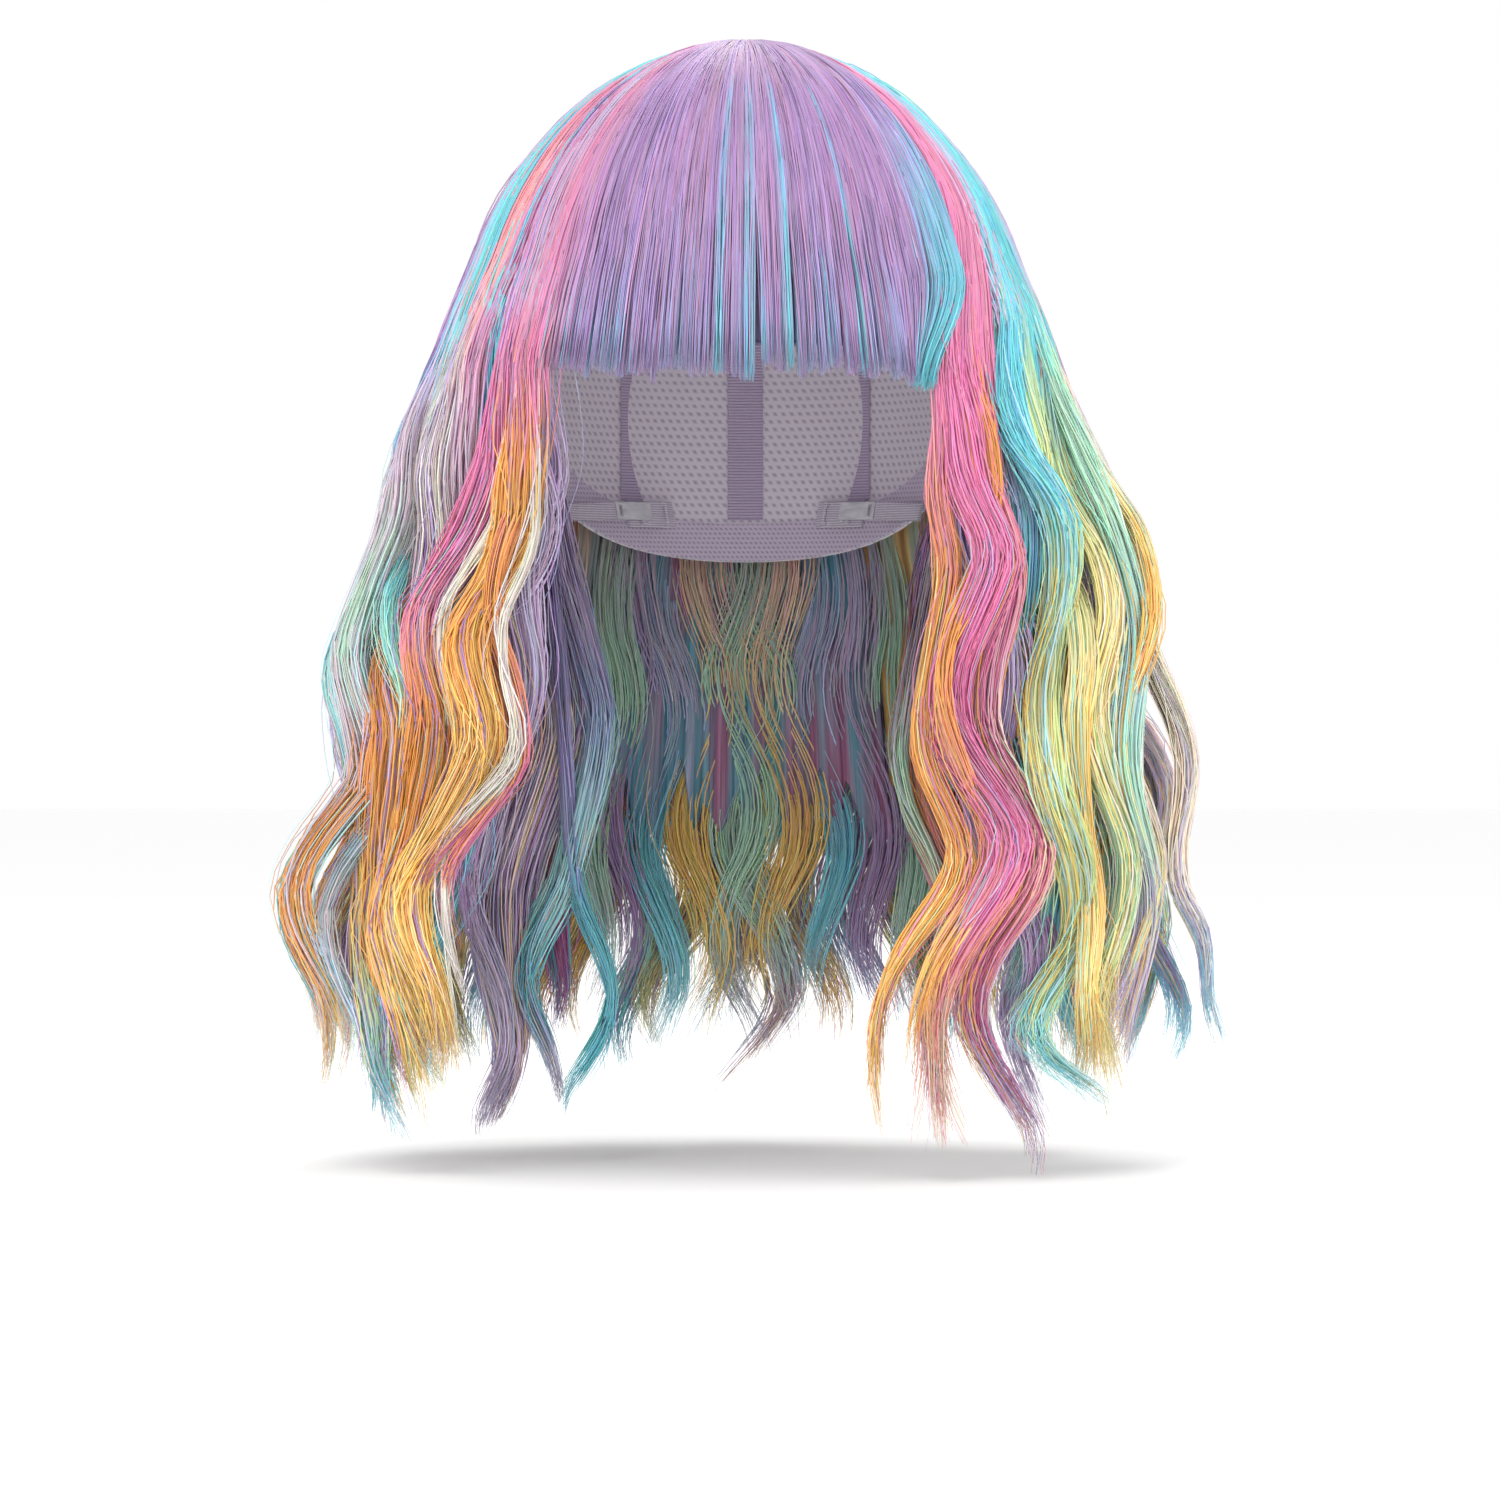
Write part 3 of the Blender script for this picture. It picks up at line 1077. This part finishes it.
def make_back_hair():
    """Corner locks that stay with the cap, back locks that swing, and the deeper row of each."""
    for side, name in ((-1, "left"), (1, "right")):
        corner = back_row(side * 105, side * 153, 7.5, -210, 1 if side > 0 else 4)
        split = len(corner) // 2 + 1
        for part, locks, crown in (("front", corner[:split], "upper_back_hair_"),
                                   ("rear", corner[split:], "crown_hair_back_")):
            piece = build_hair(f"corner_locks_{part}_{name}", locks)
            slot = "hair_mint" if side > 0 else "hair_pink"
            hang(piece, "cap", slot, f"corner_lock_{part}_{name}", crown + name)
        hang(build_hair("inner_corner_" + name, inner_row(corner[::2], 16, 80)), "cap", "hair_purple")
        fall = back_row(side * 156, side * 181, 7.0, -212, 2 if side > 0 else 0)
        piece = build_hair("back_locks_" + name, fall)
        slot = "hair_gold" if side > 0 else "hair_aqua"
        hang(piece, "back_fall", slot, "back_lock_outer_" + name, "back_lock_inner_" + name)
        hang(build_hair("inner_back_" + name, inner_row(fall, 16, 80)), "back_fall", "hair_purple")


def make_under_hair():
    """The hair that hangs from behind each ear, close beside the neck."""
    for name, locks in (("left", LEFT_NECK), ("right", RIGHT_NECK)):
        for part, some, nodes in (("main", locks[:1], ["under_lock_" + name]), ("loose", locks[1:], [])):
            piece = joined_tubes(f"under_hair_{part}_{name}", [neck_fibres(lock) for lock in some])
            hang(piece, "cap", "hair_purple", *nodes)


SHEET_DEPTH = 6.5
SHEET_HEIGHTS = (48, -146)
SHEET_TEETH = 22


def lower_sheet(name, first, last, dyes, body, *nodes, **shape):
    """A ragged sheet behind the hair below the crown, between two angles."""
    angles = sorted((first, last))
    piece = sheet_piece(name, angles, SHEET_HEIGHTS, SHEET_DEPTH, dyes, ragged=SHEET_TEETH, **shape)
    hang(piece, body, "hair_purple", *nodes)


def make_sheets():
    """The streaked sheets behind the fibres, one for each body's share of the head."""
    dyes = ["lavender", "lavender", "bluelilac", "lilac"]
    fringe = sheet_piece("fringe_backing", (-38, 40), (95, FRINGE_END + 9), SHEET_DEPTH, dyes)
    hang(fringe, "fringe", "hair_lavender")
    dyes = ["aqua", "lilac", "pink", "lavender"]
    crown = sheet_piece("crown_backing", (-180, 180), (200, 45), 5.0, dyes)
    hang(crown, "cap", "hair_lavender")
    for side, name in ((-1, "left"), (1, "right")):
        dyes = ["lilac", "paleaqua", "orange", "rose"] if side < 0 else ["rose", "gold", "mint", "lilac"]
        corner = side * CORNER_ANGLE
        lower_sheet("side_backing_" + name, side * 38, corner, dyes, "side_hair_" + name,
                    lean=0.24, rear=corner)
        lower_sheet("corner_backing_" + name, corner, side * BACK_ANGLE, dyes[::-1], "cap")
    lower_sheet("back_backing", 155, 205, ["lilac", "aqua", "rose", "lavender"], "back_fall",
                "nape_cover_hair_left", "nape_cover_hair_right")


# ---------------------------------------------------------------- cap materials

HEAD_RADIUS = 0.09


def woven(name, thread, gap, pitch, twill):
    """Woven or knitted cloth: crossing threads at a pitch in millimetres, over a darker gap colour."""
    made = Nodes(name)
    place = made.object_place()
    x, y, z = made.parts(place)
    round_head = made.math("MULTIPLY", made.math("ARCTAN2", x, y), HEAD_RADIUS)
    warp = made.ribs(made.math("ADD", round_head, made.math("MULTIPLY", z, twill)), pitch)
    weave = made.math("MAXIMUM", warp, made.ribs(z, pitch))
    patch = made.noise(place, 60, 3)
    uneven = made.math("MULTIPLY", weave, made.math("ADD", made.math("MULTIPLY", patch, 0.35), 0.8))
    made.shader.inputs["Sheen Weight"].default_value = 0.2
    return made.finish(made.ramp(uneven, (0.35, gap), (0.85, thread)), 0.75, uneven, 0.0003, 0.6)


def ribbed(name, light, dark, pitch):
    """Elastic or ribbon: fine level ribs with a little fuzz."""
    made = Nodes(name)
    place = made.object_place()
    rib = made.ribs(made.parts(place)[2], pitch)
    fuzz = made.noise(place, 900, 2)
    height = made.math("ADD", made.math("MULTIPLY", rib, 0.75), made.math("MULTIPLY", fuzz, 0.25))
    return made.finish(made.ramp(height, (0.15, dark), (0.7, light)), 0.65, height, 0.0003, 0.6)


def weft_seam(name):
    """Sewn weft: a dense stitched row with thread bars and the dyed hair caught in it."""
    made = Nodes(name)
    place = made.object_place()
    stitches = made.noise(made.scaled(place, (900, 900, 140)), 1.0, 2)
    hues = made.noise(made.scaled(place, (55, 55, 4)), 1.0, 1)
    caught = ((0.30, "lavender"), (0.42, "pink"), (0.52, "aqua"), (0.62, "gold"), (0.72, "lilac"))
    dyed = made.ramp(hues, *[(at, DYES[hue]) for at, hue in caught])
    dark = made.ramp(stitches, (0.35, (86, 70, 92)), (0.6, (240, 236, 240)))
    return made.finish(made.darkened(0.9, dyed, dark), 0.6, stitches, 0.0004, 0.7)


def scalp_skin(name):
    """The crown's scalp patch: flexible skin-toned film with fine implant dots."""
    made = Nodes(name)
    place = made.object_place()
    dots = made.add("ShaderNodeTexVoronoi")
    dots.inputs["Scale"].default_value = 700
    made.join(place, dots.inputs["Vector"])
    skin = made.ramp(made.noise(place, 120, 3), (0.3, (222, 184, 158)), (0.7, (240, 208, 186)))
    pore = made.ramp(dots.outputs["Distance"], (0.08, (120, 96, 110)), (0.25, (255, 255, 255)))
    return made.finish(made.darkened(0.8, skin, pore), 0.48, dots.outputs["Distance"], 0.0002, 0.4)


def moulded_plastic(name, light, dark):
    """Pale moulded plastic with faint flow marks."""
    made = Nodes(name)
    flow = made.noise(made.scaled(made.object_place(), (200, 200, 600)), 1.0, 3)
    made.shader.inputs["Coat Weight"].default_value = 0.3
    return made.finish(made.ramp(flow, (0.3, dark), (0.7, light)), 0.22, flow, 0.0001, 0.3)


def cap_cloths():
    """The cap's materials, each with the words in a node's name that call for it, the net first."""
    return [
        (woven("net_cloth", (240, 234, 242), (196, 186, 204), 2.6, 0.5), ["cap_net"]),
        (ribbed("ribbon_cloth", (206, 190, 216), (150, 134, 164), 1.0), ["ribbon"]),
        (weft_seam("weft_seam"), ["track"]),
        (scalp_skin("scalp_film"), ["scalp_patch"]),
        (moulded_plastic("clear_moulding", (236, 236, 238), (206, 208, 214)), ["hook", "stay"]),
        (ribbed("elastic_cloth", (230, 224, 236), (164, 154, 174), 0.8), ["strap", "loops"]),
        (woven("band_cloth", (222, 210, 230), (176, 162, 188), 1.6, 0.7), [""]),
    ]


STRAP_STEP = 0.0012
STRAP_THREADS = 0.00018


def make_elastic(name, material):
    """The adjuster's elastic strap, cut into short steps so that it can stretch, with raised ribs."""
    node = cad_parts["adjuster_strap_" + name]
    shape = bmesh.new()
    shape.from_mesh(node.data)
    low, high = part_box("adjuster_strap_" + name)
    for place in np.arange(low.x + STRAP_STEP, high.x, STRAP_STEP):
        everything = shape.verts[:] + shape.edges[:] + shape.faces[:]
        bmesh.ops.bisect_plane(shape, geom=everything, plane_co=(place, 0, 0), plane_no=(1, 0, 0))
    shape.normal_update()
    for vertex in shape.verts:
        vertex.co += vertex.normal * STRAP_THREADS * sin(vertex.co.x / STRAP_STEP * pi)
    mesh = bpy.data.meshes.new("elastic_" + name)
    shape.to_mesh(mesh)
    shape.free()
    mesh.materials.clear()
    mesh.materials.append(material)
    piece = add_object("elastic_" + name, mesh)
    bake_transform(piece)
    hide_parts("adjuster_strap_" + name)


def dress_cap():
    """Puts cloth, seam, film, elastic and plastic materials on the cap's own CAD pieces."""
    cloths = cap_cloths()
    elastic = next(cloth for cloth, words in cloths if "strap" in words)
    for name in ("left", "right"):
        make_elastic(name, elastic)
    for node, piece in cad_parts.items():
        if piece.hide_render:
            continue
        chosen = next(cloth for cloth, words in cloths if any(word in node for word in words))
        for slot in piece.material_slots:
            slot.material = chosen


# ---------------------------------------------------------------- studio

FLOOR_GAP = 0.008
FLOOR_REACH = 12.0


def make_stage():
    """A wide flat pale floor just below the tips."""
    floor = CAD_LOW.z - FLOOR_GAP
    corners = [(-1, -1), (1, -1), (1, 1), (-1, 1)]
    points = np.array([(x * FLOOR_REACH, y * FLOOR_REACH, floor) for x, y in corners])
    mesh = bpy.data.meshes.new("studio_floor")
    fill_mesh(mesh, points, np.array([[0, 1, 2, 3]]), np.zeros((0, 3), int))
    made = Nodes("studio_paper")
    made.shader.inputs["Base Color"].default_value = linear_colour((252, 252, 252))
    made.shader.inputs["Roughness"].default_value = 0.9
    mesh.materials.append(made.material)
    add_object("studio_floor", mesh)


def area_light(name, place, target, size, power):
    """A soft square light aimed at a point."""
    light = bpy.data.lights.new(name, "AREA")
    light.energy = power
    light.size = size
    holder = bpy.data.objects.new(name, light)
    holder.location = place
    holder.rotation_euler = (Vector(target) - Vector(place)).to_track_quat("-Z", "Y").to_euler()
    bpy.context.scene.collection.objects.link(holder)


# Soft square lights: name, place, aimed point, size and power.
LIGHTS = [
    ("key", (-0.5, -1.6, 1.7), (0, 0, -0.05), 1.1, 17),
    ("fill_right", (1.5, -1.1, 0.5), (0, 0, -0.08), 1.2, 8),
    ("fill_left", (-1.6, -0.6, 0.2), (0, 0, -0.08), 1.2, 6),
    ("front_low", (0.0, -2.3, 0.1), (0, 0, -0.14), 1.0, 7),
    ("rim", (0.3, 1.4, 1.5), (0, 0, 0), 1.0, 11),
]


def make_lights():
    """The soft lights and a white world."""
    for light in LIGHTS:
        area_light(*light)
    world = bpy.data.worlds.new("studio_world")
    world.use_nodes = True
    background = world.node_tree.nodes["Background"]
    background.inputs["Color"].default_value = (1, 1, 1, 1)
    background.inputs["Strength"].default_value = 1.0
    bpy.context.scene.world = world


CAMERA_X = 0.0016
CAMERA_LENS = 147.7


def make_camera():
    """A level view of the face side, from the viewing distance."""
    data = bpy.data.cameras.new("photo_camera")
    data.sensor_width = 36
    data.lens = CAMERA_LENS
    holder = bpy.data.objects.new("photo_camera", data)
    holder.location = (CAMERA_X, -VIEW_DISTANCE * MM, VIEW_HEIGHT * MM)
    holder.rotation_euler = (pi / 2, 0, 0)
    bpy.context.scene.collection.objects.link(holder)
    bpy.context.scene.camera = holder


make_camera()
make_fringe()
make_side_hair("left")
make_side_hair("right")
make_back_hair()
make_under_hair()
make_sheets()
dress_cap()
make_stage()
make_lights()
bpy.context.scene.view_settings.view_transform = "Standard"
